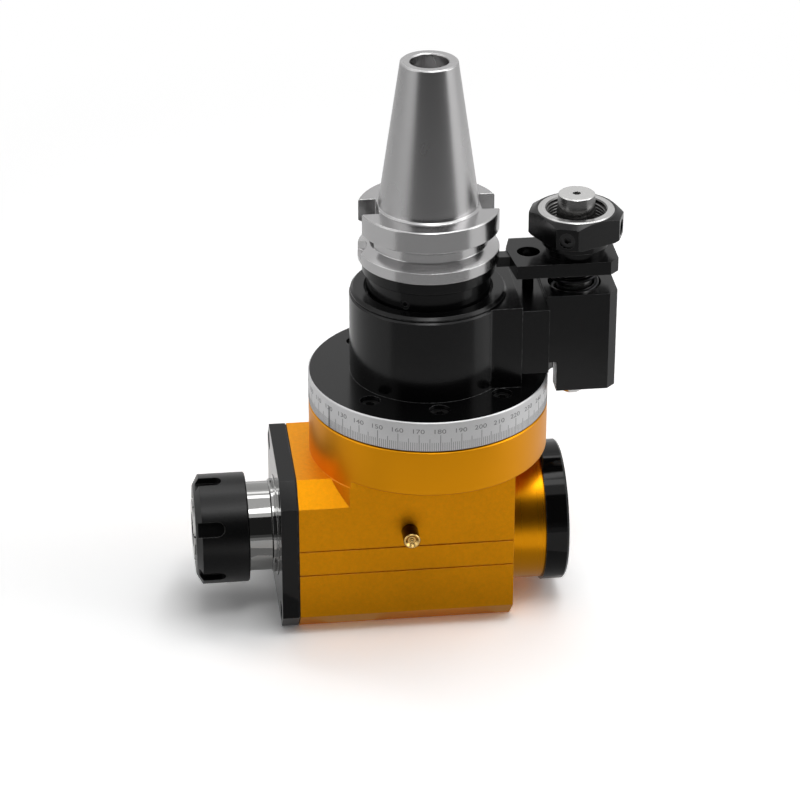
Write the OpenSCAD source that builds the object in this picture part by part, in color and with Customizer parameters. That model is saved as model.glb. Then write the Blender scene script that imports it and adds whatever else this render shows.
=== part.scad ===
// Right-angle milling head: a steep-taper shank drives a collet spindle through miter gears.
// The stop pin and the swivelling upper body hold the head against rotation.
// +Z is the shank axis, X the output axis with the collet toward -X, z = 0 the base.

/* [Gear housing] */
// Height of the output axis above the base
axis_z = 38; // [37:0.5:40]
// Height of the gear block
block_h = 76; // [75:0.5:78]
// Width of the gear block across the output axis
block_w = 75; // [73:0.5:84]
// Length of the block from the shank axis to the front cover
block_front = 62.6; // [62:0.2:68]
// Length of the block from the shank axis to the rear sleeve
block_rear = 35; // [34:0.5:40]
// Chamfer on the four long edges of the block and cover
block_chamfer = 10; // [5:0.5:11]
// Radius of the round swivel seat and of the dial ring
round_r = 54.2; // [53.8:0.1:57]
// Height of the underside of the round seat where it overhangs the block
round_z0 = 79; // [78.5:0.5:81]
// Height of the swivel face on top of the round seat
round_z1 = 100.5; // [100:0.5:104]
// Chamfer on the edges of the round seat
round_edge = 0.5; // [0.3:0.1:0.8]
// Width of the ledge under the round seat, level with the block's top
seat_ledge = 0.4; // [0.2:0.1:0.8]
// Height of the plain band between the two lines on each side of the block
band_h = 12.4; // [8:0.2:16]
// Width of each line
line_w = 0.6; // [0.4:0.1:1.2]
// Depth of each line
line_depth = 0.5; // [0.3:0.1:0.8]
// Thickness of the front cover
cover_t = 8.1; // [7.6:0.1:10]
// Width and depth of the groove along the joint of cover and block
joint_groove = 0.6; // [0.4:0.1:0.8]
// Distance of the grease nipple from the shank axis, toward the collet
nipple_x = 12.7; // [10:0.1:16]
// Height of the grease nipple above the output axis
nipple_up = 14; // [12:0.5:15]

/* [Rear end] */
// Outer radius of the rear bearing sleeve
sleeve_r = 31.2; // [30.5:0.1:32]
// Length of the sleeve outside the block
sleeve_l = 16; // [15.5:0.5:20]
// Radius of the rear cap
cap_r = 32.5; // [32.2:0.1:36]
// Length of the rear cap
cap_l = 10.6; // [10.2:0.1:14]
// Thickness of the rear cap's end wall
cap_wall = 3; // [2:0.25:3.25]

/* [Bearings] */
// Bore of the main bearings
brg_bore = 40; // [38:0.5:40]
// Outer diameter of the main bearings
brg_od = 62; // [61:0.5:63]
// Width of one main bearing
brg_w = 12; // [11:0.5:12]
// Ball radius of the main bearings
brg_ball_r = 3.6; // [3:0.1:3.8]
// Number of balls in a main bearing
brg_balls = 14; // [10:1:16]
// Bore of the rear bearing
rear_bore = 25; // [24:0.5:25]
// Outer diameter of the rear bearing
rear_od = 52; // [50:0.5:53]
// Width of the rear bearing
rear_w = 15; // [13:0.5:15]
// Ball radius of the rear bearing
rear_ball_r = 4.4; // [3.5:0.1:4.8]
// Number of balls in the rear bearing
rear_balls = 9; // [7:1:10]

/* [Miter gears] */
// Number of teeth on each gear
teeth = 24; // [20:4:28]
// Pitch radius at the large end, which is also the distance from the apex to the back plane
gear_r = 26; // [25:0.5:26.5]
// Face width measured along the gear's axis
gear_face = 7; // [5:0.5:8]
// Pressure angle
pressure_angle = 20; // [18:0.5:25]
// Tooth thinning on each flank, as an angle
backlash_deg = 0.35; // [0.2:0.05:0.6]
// Hub radius
hub_r = 19; // [18:0.5:20]
// Hub length of the drive gear
drive_hub_l = 16; // [12:0.5:18]
// Radius of the shaft seat inside each gear
gear_seat_r = 13; // [12.8:0.1:13.5]
// Width of the gear keys
key_w = 8; // [6:0.5:8]
// Depth of a key in its shaft
key_in = 4; // [3:0.25:4.5]
// Height of a key above its shaft
key_out = 3; // [2:0.25:3.5]

/* [Collet end] */
// Radius of the polished spindle neck
neck_r = 20.6; // [20.4:0.1:22]
// Distance from the front cover to the nut
nut_gap = 13.3; // [12:0.1:18]
// Radius of the collet nut
nut_r = 25.3; // [24.8:0.1:28]
// Length of the collet nut
nut_l = 24; // [23.4:0.2:27]
// Radius of the spindle nose thread
nose_r = 20; // [19.5:0.1:20]
// Number of spanner slots in the nut
nut_slots = 6; // [4:1:8]
// Width of a spanner slot
slot_w = 6.8; // [5:0.2:8]
// Turn of the slots about the nut's axis
slot_turn = 2; // [0:1:60]
// Length of a spanner slot from the nut's front
slot_l = 13; // [8:0.5:14]
// Depth of a spanner slot
slot_depth = 3.2; // [2:0.1:3.6]
// Largest radius of the collet
collet_r = 16.5; // [16:0.1:16.8]
// Length of the collet
collet_l = 40; // [38:0.5:42]
// Radius of the collet's bore
collet_bore_r = 8; // [4:0.5:8.5]
// Half angle of the collet taper
collet_angle = 8; // [7.5:0.25:8.5]
// Number of slits from each end of the collet
collet_slits = 6; // [4:1:8]
// Width of a slit
slit_w = 1; // [0.6:0.1:1.4]
// Outer radius of the labyrinth ring in front of the cover
labyrinth_r = 21.6; // [21.2:0.1:22.6]
// Length of the labyrinth ring in front of the cover
labyrinth_l = 2.4; // [2:0.1:4]

/* [Upper body] */
// Thickness of the swivel flange
flange_t = 14.7; // [14:0.1:18]
// Radius of the upper barrel
barrel_r = 35.4; // [35:0.1:36.4]
// Height of the upper barrel above the flange
barrel_h = 39; // [38:0.5:42]
// Height of the bearing retainer's flange on top of the barrel
retainer_rim_h = 1.7; // [1.4:0.1:2.2]
// Clearance between the retainer's flange and the barrel
retainer_clear = 0.5; // [0.3:0.1:0.7]
// Width of the dial ring's top edge chamfer
dial_chamfer = 0.5; // [0.4:0.1:1]
// Bolt circle radius of the swivel screws and T-groove
swivel_pcr = 41.8; // [41.6:0.1:42.2]
// Half width of the boss that carries the stop bracket
boss_hw = 24.5; // [22:0.5:24.5]
// Distance from the shank axis to the boss face
boss_x = 39; // [38:0.5:41]

/* [Taper shank] */
// Gauge diameter of the taper
gauge_d = 44.45; // [42:0.05:46]
// Length of the taper above the gauge line
taper_l = 65.4; // [60:0.2:70]
// Taper ratio, diameter lost per unit of length
taper_ratio = 0.29167; // [0.25:0.00001:0.3]
// Diameter of the gripper flange
grip_d = 63; // [62:0.5:66]
// Thickness of the gripper flange
grip_t = 25; // [24:0.5:27]
// Height of the gauge line above the gripper flange
gauge_up = 2; // [1:0.5:3]
// Distance from the gauge line down to the middle of the V-groove
groove_down = 16.6; // [16:0.1:17.2]
// Diameter at the bottom of the V-groove
groove_d = 53; // [52:0.5:56]
// Width of the V-groove's floor
groove_w = 4; // [3:0.25:4.5]
// Width of the drive key slots
key_slot_w = 16.1; // [15:0.1:17]
// Distance from the shank axis to the floor of a drive key slot
key_slot_x = 22.6; // [22.5:0.1:24]
// Radius of the pilot bore at the small end
pilot_r = 8.5; // [8.2:0.1:9.5]
// Radius of the retention thread
retention_r = 7; // [6.5:0.1:7.5]
// Depth of the retention thread
retention_l = 36; // [28:1:42]
// Clear height between the upper body and the gripper flange
shank_gap = 16.5; // [15:0.5:20]
// Outer radius of the lock ring
lock_ring_r = 29.6; // [28.5:0.1:29.8]
// Height of the lock ring's notched rim
lock_ring_h = 5.8; // [5:0.1:6.2]
// Radius of the lock ring's lower sleeve
lock_sleeve_r = 27.6; // [26.5:0.1:28]
// Height of the lock ring's lower sleeve
lock_sleeve_h = 9.8; // [8:0.1:10]

/* [Stop pin] */
// Distance from the edge of the dial ring to the stop pin's axis
ring_to_pin = 11.8; // [11:0.2:14]
// Clearance between the dial ring and the lower part of the pin block
ring_to_block = 2.2; // [1.6:0.2:2.8]
// Thickness of the bracket's mounting flange
bracket_t = 12.1; // [11:0.1:14]
// Half width of the pin block
pin_block_hw = 15; // [14.5:0.5:17]
// Distance from the stop pin to the outer end of the block
pin_block_out = 17.7; // [17:0.1:20]
// Chamfer on the outer upright edges of the block and lever plate
pin_block_chamfer = 4; // [2:0.5:5]
// Height of the pin block's lower part below the upper part
pin_block_drop = 14.5; // [13:0.5:16]
// Height of the pin block's upper part
pin_block_h = 32.8; // [32:0.2:36]
// Radius of the stop pin in its guide
pin_r = 8; // [7.5:0.1:8.2]
// Radius of the pin's locating end
tip_r = 9.1; // [8.8:0.1:9.6]
// Radius at the top of the locating end
tip_top_r = 8.2; // [7.6:0.1:8.6]
// Height of the locating end above the collar
tip_up = 7.4; // [6:0.2:9]
// Travel of the pin when it is pressed
pin_travel = 6; // [5:0.5:7]
// Gap between the block and the lever plate when the pin is pressed
pressed_gap = 3.3; // [2:0.1:4]
// Length of the pin's tail below the block
pin_tail_out = 6.8; // [4:0.2:9]
// Mean radius of the spring
spring_r = 10; // [9.8:0.1:10.3]
// Radius of the spring wire
wire_r = 1.1; // [0.9:0.1:1.3]
// Number of turns of the spring
spring_turns = 6; // [5:1:7]
// Thickness of the lever plate
lever_t = 6.3; // [5.8:0.1:7]
// Radius of the lever plate's guide hole
lever_hole_r = 5.2; // [4:0.1:6]
// Radius of the guide rod
rod_r = 2.6; // [2.2:0.1:3]
// Distance from the shank axis to the guide rod
rod_x = 44.9; // [44.4:0.1:45.4]
// Height of the neck between the lever plate and the collar
neck_h = 8; // [7:0.5:10]
// Height of the collar
collar_h = 12; // [11:0.5:14]
// Radius of the collar's set screws
set_screw_r = 3.6; // [2.5:0.1:3.8]
// Distance across the collar's long flats
collar_af = 36; // [35.6:0.2:39]
// Distance from the collar's axis to its corner flats
collar_corner = 20.5; // [20.2:0.1:22]
// Turn of the collar about the pin
collar_turn = 25; // [0:1:45]
// Outer radius of the threaded ring in the collar
bush_r = 17.1; // [16.4:0.1:17.2]
// Inner radius of the threaded ring in the collar
bush_in_r = 13.3; // [12:0.1:14]

/* [Fits] */
// Radial clearance of seated pieces
fit = 0.02; // [0.01:0.01:0.04]
// Radial running clearance of turning and sliding pieces
run = 0.05; // [0.03:0.01:0.08]
// Clearance between pieces that pass each other
gap = 0.3; // [0.3:0.05:0.4]
// Clearance of the collet in its taper
taper_fit = 0.1; // [0.08:0.01:0.12]

/* [Hidden] */
$fn = 96;
eps = 0.5;
gold = "goldenrod";
black = [0.12, 0.12, 0.13];
steel = "silver";
dark_steel = "dimgray";

// Bearings
brg_r = brg_od / 2;
brg_in = brg_bore / 2;
brg_pitch = (brg_r + brg_in) / 2;
shoulder_h = 2.2;
shoulder_in_r = brg_pitch - shoulder_h;
shoulder_out_r = brg_pitch + shoulder_h;
pair_w = 2 * brg_w;
rear_r = rear_od / 2;
rear_in = rear_bore / 2;
rear_pitch = (rear_r + rear_in) / 2;
rear_shoulder_h = 2.6;
rear_shoulder_r = rear_pitch + rear_shoulder_h;

// Output axis stations
front_x = -block_front;
register_l = 2;
front_brg_x0 = front_x + register_l;
front_brg_x1 = front_brg_x0 + pair_w;
cover_x = front_x - cover_t;
neck_x = cover_x - gap - labyrinth_l;
nut_x1 = cover_x - nut_gap;
nut_x0 = nut_x1 - nut_l;
nose_back = 7;
nose_x = nut_x0 + nose_back;
collet_out = 0.8;
collet_x0 = nut_x0 - collet_out;
collet_cone_l = 4.4;
collet_cone_angle = 30;
collet_rim_l = 1.6;
collet_groove_l = 2.6;
collet_groove_depth = 1.9;
collet_taper_x = collet_x0 + collet_cone_l + collet_rim_l + collet_groove_l;
collet_x1 = collet_x0 + collet_l;
seal_wall = 4;
seat_wall = 3;
neck_cover_r = brg_in + seat_wall;
front_seal_r = neck_cover_r + seal_wall;
front_seal_w = 4;
cover_lip = 3;
seal_x0 = cover_x + cover_lip;
nipple_thread_r = 3;
nipple_in = 6;
nipple_r = 3.8;
nipple_out = 9.2;
spacer_l = 3.5;
driven_hub_l = -gear_r - front_brg_x1 - spacer_l;
gear_back_x = -gear_r;
gear_front_x = -gear_r + gear_face;
lock_nut_l = 7;
lock_nut_wall = 3.9;
lock_nut_r = rear_in + lock_nut_wall;
rear_seat_in = 1;
rear_brg_x0 = block_rear + rear_seat_in;
rear_brg_x1 = rear_brg_x0 + rear_w;
sleeve_x1 = block_rear + sleeve_l;
cap_x1 = sleeve_x1 + cap_l;
rear_nut_l = 5;
rear_nut_wall = 5.5;
rear_nut_r = rear_in + rear_nut_wall;
spindle_end = 0.4;
spindle_x1 = rear_brg_x1 + rear_nut_l + spindle_end;
rear_seat_r = rear_r + fit;
spigot_wall = 2;
sleeve_spigot_r = rear_r + spigot_wall;
rear_bore_r = sleeve_spigot_r + fit;
cavity_run = 3;
cavity_rear_x = gear_front_x + cavity_run;
cavity_below = 7;
cavity_floor = axis_z + gear_r - gear_face - cavity_below;

// Screws: one size for the swivel, cover and bracket, a small one for the rear cap
m5 = 2.5;
m5_head = 4.25;
m5_head_h = 5;
m5_sink_r = 4.5;
m5_sink = 5.5;
m5_hex = 2.3;
m5_hex_d = 2.5;
m3 = 1.5;
m3_head = 2.75;
m3_head_h = 3;
m3_sink_r = 2.95;
m3_hex = 1.45;
m3_hex_d = 1.5;
cover_screw_in = 9;
cover_screw_y = block_w / 2 - cover_screw_in;
cover_screw_z = block_h / 2 - cover_screw_in;
cover_screw_l = 14;
rear_screw_count = 4;
rear_screw_pcr = (rear_r + sleeve_r) / 2;
rear_screw_l = 12;

// Swivel joint
spigot_l = 6.5;
spigot_r = brg_r - run;
spigot_in = shoulder_out_r - gap;
lip_h = 7;
groove_h = 8;
groove_neck = 3.4;
groove_half = 6.5;
t_nut_play = 0.5;
t_nut_r = groove_half - t_nut_play;
t_nut_h = 6;
groove_z1 = round_z1 - lip_h;
groove_z0 = groove_z1 - groove_h;
flange_z0 = round_z1 + gap;
flange_z1 = flange_z0 + flange_t;
body_z1 = flange_z1 + barrel_h;
dial_step_h = 7;
dial_wall = 3.6;
dial_foot = 0.4;
dial_lift = 0.3;
dial_z0 = flange_z0 + dial_lift;
dial_in_r = round_r - dial_wall;
dial_lip_r = round_r - dial_chamfer - run;
screw_angles = [0, 45, 135, 180, 225, 315];
swivel_sink = 6.8;
swivel_screw_l = flange_z1 - swivel_sink - groove_z1 + gap + t_nut_h;
in_brg_up = 5;
in_brg_z0 = flange_z1 + in_brg_up;
in_brg_z1 = in_brg_z0 + pair_w;
shank_collar_r = brg_in + seat_wall;
retainer_in = shank_collar_r + seal_wall;
retainer_step = 1.9;
retainer_top_in = retainer_in + retainer_step;
retainer_top_h = 2;
retainer_lip = 2;
retainer_step_z = body_z1 - retainer_top_h;
retainer_rim_z0 = body_z1 + retainer_clear;
retainer_rim_z1 = retainer_rim_z0 + retainer_rim_h;
retainer_rim_back = 0.5;
retainer_rim_r = barrel_r - retainer_rim_back;
retainer_rim_edge = 1.2;
seal_h = 5;

// Taper shank stations
grip_z0 = body_z1 + shank_gap;
grip_z1 = grip_z0 + grip_t;
gauge_z = grip_z1 + gauge_up;
taper_z1 = gauge_z + taper_l;
gauge_r = gauge_d / 2;
taper_top_r = (gauge_d - taper_l * taper_ratio) / 2;
grip_r = grip_d / 2;
groove_z = gauge_z - groove_down;
groove_flare = (grip_d - groove_d) / 2 * tan(30);
input_nut_h = 8;
input_nut_wall = 4.6;
input_nut_r = brg_in + input_nut_wall;
shank_mid_r = 17;
drive_back_z = axis_z + gear_r;
drive_front_z = drive_back_z - gear_face;
drive_hub_z = drive_back_z + drive_hub_l;
end_nut_h = 4;
end_nut_r = 12.2;
end_thread_r = 8;
shank_z0 = drive_front_z + end_nut_h;
pilot_l = 9;
pocket_r = 8;
pocket_depth = 4;
pocket_floor = 2;
lock_z0 = grip_z0 - lock_ring_h;
lock_sleeve_z0 = lock_z0 - lock_sleeve_h;
grub_up = 3.6;
notch_w = 7.6;
notch_depth = 4;
grub_r = 2;
grub_l = 4;

// Miter teeth as spherical involutes, drawn on the plane at the large end
pitch_cone = 45;
base_cone = asin(sin(pitch_cone) * cos(pressure_angle));
gear_module = 2 * gear_r / teeth;
slant = gear_r / sin(pitch_cone);
face_cone = pitch_cone + atan(gear_module / slant);
root_cone = pitch_cone - atan(1.25 * gear_module / slant);
flank_steps = 5;
function roll(d) = acos(min(1, cos(d) / cos(base_cone)));
function flank_turn(d) = roll(d) / sin(base_cone) - atan(tan(roll(d)) / sin(base_cone));
function half_tooth(d) = 90 / teeth - backlash_deg + flank_turn(pitch_cone) - flank_turn(d);
function cone_r(d) = gear_r * tan(d);
function on_circle(r, a) = [r * cos(a), r * sin(a)];
function flank_cone(k) = base_cone + (face_cone - base_cone) * k / flank_steps;
function tooth(c) = concat(
    [on_circle(cone_r(root_cone), c - half_tooth(base_cone))],
    [for (k = [0:flank_steps]) on_circle(cone_r(flank_cone(k)), c - half_tooth(flank_cone(k)))],
    [for (k = [flank_steps:-1:0]) on_circle(cone_r(flank_cone(k)), c + half_tooth(flank_cone(k)))],
    [on_circle(cone_r(root_cone), c + half_tooth(base_cone))]);
gear_outline = [for (i = [0:teeth - 1]) each tooth(i * 360 / teeth)];

// Stop bracket and pin stations
stop_s = round_r + ring_to_pin;
drop_x = round_r + ring_to_block;
spring_gap = pin_travel + pressed_gap;
boss_fillet = 3;
bracket_x0 = boss_x + fit;
bracket_x1 = bracket_x0 + bracket_t;
pin_block_x1 = stop_s + pin_block_out;
block_proud = 0.3;
pin_block_z1 = body_z1 + block_proud;
pin_block_z0 = pin_block_z1 - pin_block_h;
drop_z0 = pin_block_z0 - pin_block_drop;
bracket_top_drop = 1.7;
bracket_z1 = body_z1 - bracket_top_drop;
spring_play = 0.9;
pocket_spring_r = spring_r + wire_r + spring_play;
pocket_spring_h = 20.8;
pocket_z = pin_block_z1 - pocket_spring_h;
guide_wall = 3;
guide_r = pin_r + guide_wall;
guide_h = 16;
guide_z0 = pocket_z - guide_h;
bracket_screw_y = (pin_block_hw + boss_hw) / 2;
bracket_screw_dz = 8;
bracket_screw_z = (pin_block_z0 + bracket_z1) / 2;
bracket_screw_l = 12;
rod_in = 20;
rod_up = 11.5;
lever_z0 = pin_block_z1 + spring_gap;
lever_z1 = lever_z0 + lever_t;
lever_reach = 9.6;
lever_x0 = rod_x - lever_reach;
lever_nose = 2.2;
lever_nose_y = 4.5;
lever_tail = 2.8;
tongue_play = 0.6;
tongue_x0 = lock_ring_r + tongue_play;
tongue_hw = 3.2;
tongue_h = 4.7;
tongue_up = 1;
collar_z0 = lever_z1 + neck_h;
collar_z1 = collar_z0 + collar_h;
collar_rim = 0.9;
collar_foot = 0.5;
collar_chamfer_angle = 30;
collar_floor = 3;
neck_low_r = 13.2;
neck_high_r = 15;
pin_tail_r = 5;
keeper_wall = 1.6;
keeper_r = pin_r + keeper_wall;
keeper_h = 5;
set_screw_l = collar_corner - bush_r - gap;
spring_sides = 8;
spring_steps = 24;
dead_turns = 1;

// Spring height along its turns: closed ends and an even pitch between
spring_z0 = pocket_z + wire_r + fit;
spring_z1 = lever_z0 - wire_r - fit;
spring_n = spring_turns * spring_steps;
dead_rise = dead_turns * 2 * wire_r * 1.05;
live_rise = spring_z1 - spring_z0 - 2 * dead_rise;
function coil_rise(t) = t < dead_turns ? dead_rise * t / dead_turns
    : t > spring_turns - dead_turns
    ? dead_rise + live_rise + dead_rise * (t - spring_turns + dead_turns) / dead_turns
    : dead_rise + live_rise * (t - dead_turns) / (spring_turns - 2 * dead_turns);
function coil_point(i, k) = let (a = i * 360 / spring_steps, b = k * 360 / spring_sides,
    r = spring_r + wire_r * cos(b))
    [r * cos(a), r * sin(a), spring_z0 + coil_rise(i / spring_steps) + wire_r * sin(b)];

// A turned piece along the output axis, from a profile of [radius, x]
module turned_x(profile) {
    translate([0, 0, axis_z])
        rotate([0, 90, 0])
            rotate_extrude()
                polygon(profile);
}

// A turned piece along the shank axis, from a profile of [radius, z]
module turned_z(profile) {
    rotate_extrude()
        polygon(profile);
}

// Child geometry laid along the output axis, its own z becoming x
module laid(x) {
    translate([x, 0, axis_z])
        rotate([0, 90, 0])
            children();
}

// A plain rod along the output axis between two stations
module rod_x_axis(x0, x1, r) {
    laid(x0)
        cylinder(h = x1 - x0, r = r);
}

// A plain rod along the shank axis between two heights
module rod_z_axis(z0, z1, r) {
    translate([0, 0, z0])
        cylinder(h = z1 - z0, r = r);
}

// A ring with its lower face at z = 0
module ring(r_in, r_out, h) {
    rotate_extrude()
        translate([r_in, 0])
            square([r_out - r_in, h]);
}

// A socket head screw, its head's underside at z = 0 and its shank toward -Z
module socket_screw(r, head_r, head_h, l, hex_r, hex_d) {
    difference() {
        union() {
            cylinder(h = head_h, r = head_r);
            translate([0, 0, -l])
                cylinder(h = l + eps, r = r);
        }
        translate([0, 0, head_h - hex_d])
            cylinder(h = hex_d + eps, r = hex_r, $fn = 6);
    }
}

module m5_screw(l) {
    socket_screw(m5, m5_head, m5_head_h, l, m5_hex, m5_hex_d);
}

module m3_screw(l) {
    socket_screw(m3, m3_head, m3_head_h, l, m3_hex, m3_hex_d);
}

// Hole for a screw: its counterbore opens toward +Z from z = 0, which is the head's seat
module screw_hole(r, sink_r, sink, l) {
    translate([0, 0, -l])
        cylinder(h = l + eps, r = r);
    cylinder(h = sink + eps, r = sink_r);
}

// Races and balls of one bearing, lower face at z = 0
module race_outer(r_shoulder, r_out, w, pitch, ball) {
    rotate_extrude()
        difference() {
            translate([r_shoulder, 0])
                square([r_out - r_shoulder, w]);
            translate([pitch, w / 2])
                circle(r = ball + run);
        }
}

module race_inner(r_in, r_shoulder, w, pitch, ball) {
    rotate_extrude()
        difference() {
            translate([r_in, 0])
                square([r_shoulder - r_in, w]);
            translate([pitch, w / 2])
                circle(r = ball + run);
        }
}

module caged_balls(w, pitch, ball, count) {
    cage_t = 1.4;
    cage_w = ball;
    translate([0, 0, (w - cage_w) / 2])
        ring(pitch - cage_t / 2, pitch + cage_t / 2, cage_w);
    for (i = [0:count - 1])
        rotate([0, 0, i * 360 / count])
            translate([pitch, 0, w / 2])
                sphere(r = ball, $fn = 32);
}

module main_outers() {
    for (i = [0, 1])
        translate([0, 0, i * brg_w])
            race_outer(shoulder_out_r, brg_r, brg_w - fit, brg_pitch, brg_ball_r);
}

module main_inners() {
    for (i = [0, 1])
        translate([0, 0, i * brg_w])
            race_inner(brg_in, shoulder_in_r, brg_w - fit, brg_pitch, brg_ball_r);
}

module main_balls() {
    for (i = [0, 1])
        translate([0, 0, i * brg_w])
            caged_balls(brg_w - fit, brg_pitch, brg_ball_r, brg_balls);
}

// One miter gear: large end at z = 0, apex toward +Z, hub toward -Z
module miter_gear(hub_l, key_turn, end_sink_r = 0, end_sink = 0) {
    difference() {
        union() {
            linear_extrude(height = gear_face, scale = (gear_r - gear_face) / gear_r)
                polygon(gear_outline);
            translate([0, 0, -hub_l])
                cylinder(h = hub_l + eps, r = hub_r);
        }
        translate([0, 0, -hub_l - eps])
            cylinder(h = hub_l + gear_face + 2 * eps, r = gear_seat_r + fit);
        rotate([0, 0, key_turn])
            translate([gear_seat_r - key_in, -key_w / 2 - fit, -hub_l - eps])
                cube([key_in + key_out + fit, key_w + 2 * fit, hub_l + eps]);
        if (end_sink > 0)
            translate([0, 0, gear_face - end_sink])
                cylinder(h = end_sink + eps, r = end_sink_r);
    }
}

// Section of the block and front cover, seen along the output axis, drawn in by an inset
module block_section(inset = 0) {
    w = block_w / 2 - inset;
    c = block_chamfer - inset * (2 - sqrt(2));
    z0 = inset;
    z1 = block_h - inset;
    polygon([[-w + c, z0], [w - c, z0], [w, z0 + c], [w, z1 - c], [w - c, z1], [-w + c, z1],
        [-w, z1 - c], [-w, z0 + c]]);
}

// The block section extruded along the output axis
module block_bar(x0, x1, inset = 0) {
    translate([x0, 0, 0])
        rotate([90, 0, 90])
            linear_extrude(height = x1 - x0)
                block_section(inset);
}

module at_cover_screws() {
    for (sy = [-1, 1])
        for (sz = [-1, 1])
            translate([cover_x + m5_sink, sy * cover_screw_y, block_h / 2 + sz * cover_screw_z])
                rotate([0, -90, 0])
                    children();
}

module at_rear_screws() {
    for (i = [0:rear_screw_count - 1])
        translate([cap_x1 - m3_head_h - gap, 0, axis_z])
            rotate([i * 360 / rear_screw_count + 45, 0, 0])
                translate([0, 0, rear_screw_pcr])
                    rotate([0, 90, 0])
                        children();
}

module at_swivel_screws() {
    for (a = screw_angles)
        rotate([0, 0, a])
            translate([0, -swivel_pcr, flange_z1 - swivel_sink])
                children();
}

module at_bracket_screws() {
    for (sy = [-1, 1])
        for (sz = [-1, 1])
            translate([bracket_x1 - m5_sink, sy * bracket_screw_y, bracket_screw_z + sz * bracket_screw_dz])
                rotate([0, 90, 0])
                    children();
}

// Grease nipple seat: z points out of the near side of the block
module at_nipple() {
    translate([-nipple_x, -block_w / 2, axis_z + nipple_up])
        rotate([90, 0, 0])
            children();
}

module housing() {
    half_band = band_h / 2;
    color(gold) difference() {
        union() {
            block_bar(front_x, block_rear);
            intersection() {
                union() {
                    rod_z_axis(axis_z, block_h, round_r + seat_ledge);
                    rod_z_axis(axis_z, round_z0 + eps, round_r);
                }
                translate([front_x, -block_w / 2, axis_z])
                    cube([block_front + block_rear, block_w, round_z1 - axis_z]);
            }
            turned_z([[0, round_z0], [round_r - round_edge, round_z0], [round_r, round_z0 + round_edge],
                [round_r, round_z1 - round_edge], [round_r - round_edge, round_z1], [0, round_z1]]);
        }
        rod_x_axis(front_x - eps, cavity_rear_x, brg_r + fit);
        rod_x_axis(cavity_rear_x - eps, block_rear + eps, rear_bore_r);
        rod_z_axis(cavity_floor, round_z1 + eps, brg_r);
        translate([0, 0, groove_z1 - eps])
            ring(swivel_pcr - groove_neck, swivel_pcr + groove_neck, lip_h + 2 * eps);
        translate([0, 0, groove_z0])
            ring(swivel_pcr - groove_half, swivel_pcr + groove_half, groove_h);
        for (sy = [-1, 1])
            for (sz = [-1, 1])
                translate([front_x - eps, sy * block_w / 2 - line_depth, axis_z + sz * half_band - line_w / 2])
                    cube([block_front + block_rear + 2 * eps, 2 * line_depth, line_w]);
        at_cover_screws()
            translate([0, 0, -cover_screw_l])
                cylinder(h = cover_screw_l, r = m5 + fit);
        at_nipple()
            translate([0, 0, -nipple_in])
                cylinder(h = nipple_in + eps, r = nipple_thread_r + fit);
    }
}

module front_cover() {
    bore_r = neck_cover_r + gap;
    color(black) difference() {
        union() {
            block_bar(cover_x, front_x - joint_groove);
            block_bar(front_x - joint_groove - eps, front_x, joint_groove);
            rod_x_axis(front_x - eps, front_brg_x0, brg_r - run);
        }
        rod_x_axis(cover_x - eps, front_brg_x0 + eps, bore_r);
        rod_x_axis(seal_x0, seal_x0 + front_seal_w, front_seal_r + fit);
        rod_x_axis(seal_x0 + front_seal_w, front_brg_x0 + eps, shoulder_out_r);
        at_cover_screws()
            screw_hole(m5 + run, m5_sink_r, m5_sink, cover_screw_l);
    }
}

module front_cover_screws() {
    color(dark_steel)
        at_cover_screws()
            m5_screw(cover_screw_l - run);
}

module front_seal() {
    color([0.08, 0.08, 0.08])
        laid(seal_x0)
            ring(neck_cover_r + run, front_seal_r, front_seal_w);
}

module front_bearing_outers() {
    color(steel)
        laid(front_brg_x0)
            main_outers();
}

module front_bearing_inners() {
    color(steel)
        laid(front_brg_x0)
            main_inners();
}

module front_bearing_balls() {
    color("lightgray")
        laid(front_brg_x0)
            main_balls();
}

// The sleeve's spigot in the block stops short of the drive gear
module rear_bearing_sleeve() {
    spigot_x = cone_r(face_cone) + 2 * gap;
    color(gold) difference() {
        turned_x([[rear_shoulder_r, spigot_x], [sleeve_spigot_r, spigot_x], [sleeve_spigot_r, block_rear],
            [sleeve_r, block_rear], [sleeve_r, sleeve_x1], [rear_seat_r, sleeve_x1], [rear_seat_r, rear_brg_x0],
            [rear_shoulder_r, rear_brg_x0]]);
        at_rear_screws()
            translate([0, 0, -rear_screw_l])
                cylinder(h = rear_screw_l, r = m3 + fit);
    }
}

module rear_bearing_outer() {
    color(steel)
        laid(rear_brg_x0)
            race_outer(rear_shoulder_r, rear_r, rear_w, rear_pitch, rear_ball_r);
}

module rear_bearing_inner() {
    color(steel)
        laid(rear_brg_x0)
            race_inner(rear_in, rear_pitch - rear_shoulder_h, rear_w, rear_pitch, rear_ball_r);
}

module rear_bearing_balls() {
    color("lightgray")
        laid(rear_brg_x0)
            caged_balls(rear_w, rear_pitch, rear_ball_r, rear_balls);
}

module rear_cap() {
    edge = 1;
    color(black) difference() {
        turned_x([[0, cap_x1 - cap_wall], [rear_shoulder_r, cap_x1 - cap_wall], [rear_shoulder_r, sleeve_x1],
            [cap_r, sleeve_x1], [cap_r, cap_x1 - edge], [cap_r - edge, cap_x1], [0, cap_x1]]);
        at_rear_screws()
            screw_hole(m3 + run, m3_sink_r, m3_head_h + gap, rear_screw_l);
    }
}

module rear_cap_screws() {
    color(dark_steel)
        at_rear_screws()
            m3_screw(rear_screw_l - run);
}

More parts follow.
